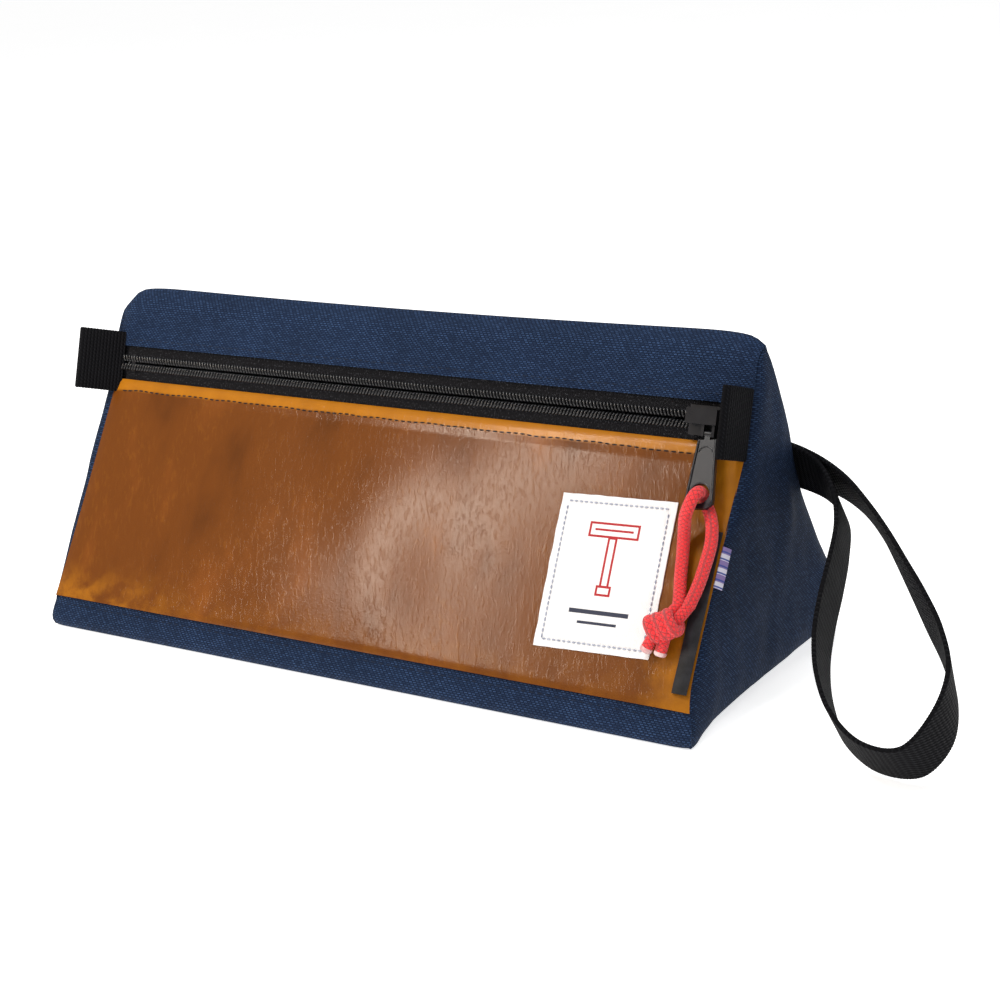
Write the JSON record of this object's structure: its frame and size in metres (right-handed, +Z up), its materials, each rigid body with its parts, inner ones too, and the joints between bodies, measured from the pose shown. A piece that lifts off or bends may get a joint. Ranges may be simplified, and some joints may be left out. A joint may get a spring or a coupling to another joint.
{
  "type": "shaving kit bag",
  "caption": "Wedge-shaped cloth shaving kit bag with a leather front, a long zip with a corded pull, webbing tabs and a wrist strap.",
  "frame": {"origin": "middle of the flat base on the ground, half-way between the two end panels", "axes": "+X along the zip towards the end with the wrist strap, +Y to the back, +Z up"},
  "size_m": [0.3425, 0.1261, 0.1125],
  "materials": {
    "navy_canvas": "coated plain-weave canvas",
    "brown_leather": "waxed pull-up leather, soft gloss",
    "lining_cloth": "coated pack cloth",
    "binding_tape": "grosgrain",
    "zip_tape": "herringbone tape",
    "zip_coil": "glossy nylon coil",
    "black_thread": "polyester thread",
    "navy_thread": "polyester thread",
    "grey_thread": "polyester thread",
    "black_webbing": "ribbed nylon webbing",
    "label_white": "smooth woven label",
    "black_satin": "satin tape",
    "striped_tape": "woven stripes",
    "black_enamel": "glossy enamel",
    "bare_steel": "satin",
    "red_cord": "braided nylon",
    "melted_core": "singed core yarns"
  },
  "bodies": {
    "bag": {"base_panel": "navy_canvas", "front_leather": "brown_leather", "top_back_panel": "navy_canvas", "left_end_panel": "navy_canvas", "right_end_panel": "navy_canvas", "lining_base": "lining_cloth", "lining_front": "lining_cloth", "lining_top_back": "lining_cloth", "lining_left": "lining_cloth", "lining_right": "lining_cloth", "seam_binding_left": "binding_tape", "seam_binding_right": "binding_tape", "zip_tape_lower": "zip_tape", "zip_tape_upper": "zip_tape", "zip_coil_lower": "zip_coil", "zip_coil_upper": "zip_coil", "zip_stops": "black_thread", "zip_tab_left": "black_webbing", "zip_tab_right": "black_webbing", "front_label": "label_white", "label_stitching": "grey_thread", "leather_topstitch": "black_thread", "band_topstitch": "navy_thread", "zip_topstitch": "navy_thread", "side_tag": "black_satin", "side_flag": "striped_tape", "strap_anchor": "black_webbing"},
    "slider": {"slider_body": "black_enamel", "slider_cap": "black_enamel"},
    "lock_pin": {"lock_pin": "bare_steel"},
    "pull": {"pull_tab": "black_enamel"},
    "cord": {"pull_cord": "red_cord", "cord_knot": "red_cord", "cord_tips": "melted_core"},
    "strap": {"wrist_strap": "black_webbing"}
  },
  "joints": [
    {"name": "zip_travel", "type": "slide", "parent": "bag", "child": "slider", "axis": [1, 0, 0], "range_m": [-0.226, 0]},
    {"name": "pull_swing", "type": "hinge", "parent": "slider", "child": "pull", "pos_m": [0.1169, -0.01533, 0.08528], "axis": [-1, 0, 0], "range_deg": [0, 90]},
    {"name": "lock_lift", "type": "slide", "parent": "slider", "child": "lock_pin", "axis": [0, -0.9558, 0.2941], "range_m": [0, 0.0008]},
    {"name": "cord_swing", "type": "hinge", "parent": "pull", "child": "cord", "pos_m": [0.11958, -0.02939, 0.06638], "axis": [-1, 0, 0], "range_deg": [0, 40]},
    {"name": "strap_swing", "type": "hinge", "parent": "bag", "child": "strap", "pos_m": [0.1276, 0.025, 0.068], "axis": [0, -0.5664, 0.8241], "range_deg": [0, 110]}
  ],
  "couplings": [
    {"joint": "lock_lift", "follows": "pull_swing", "m_per_rad": 0.0005093}
  ]
}
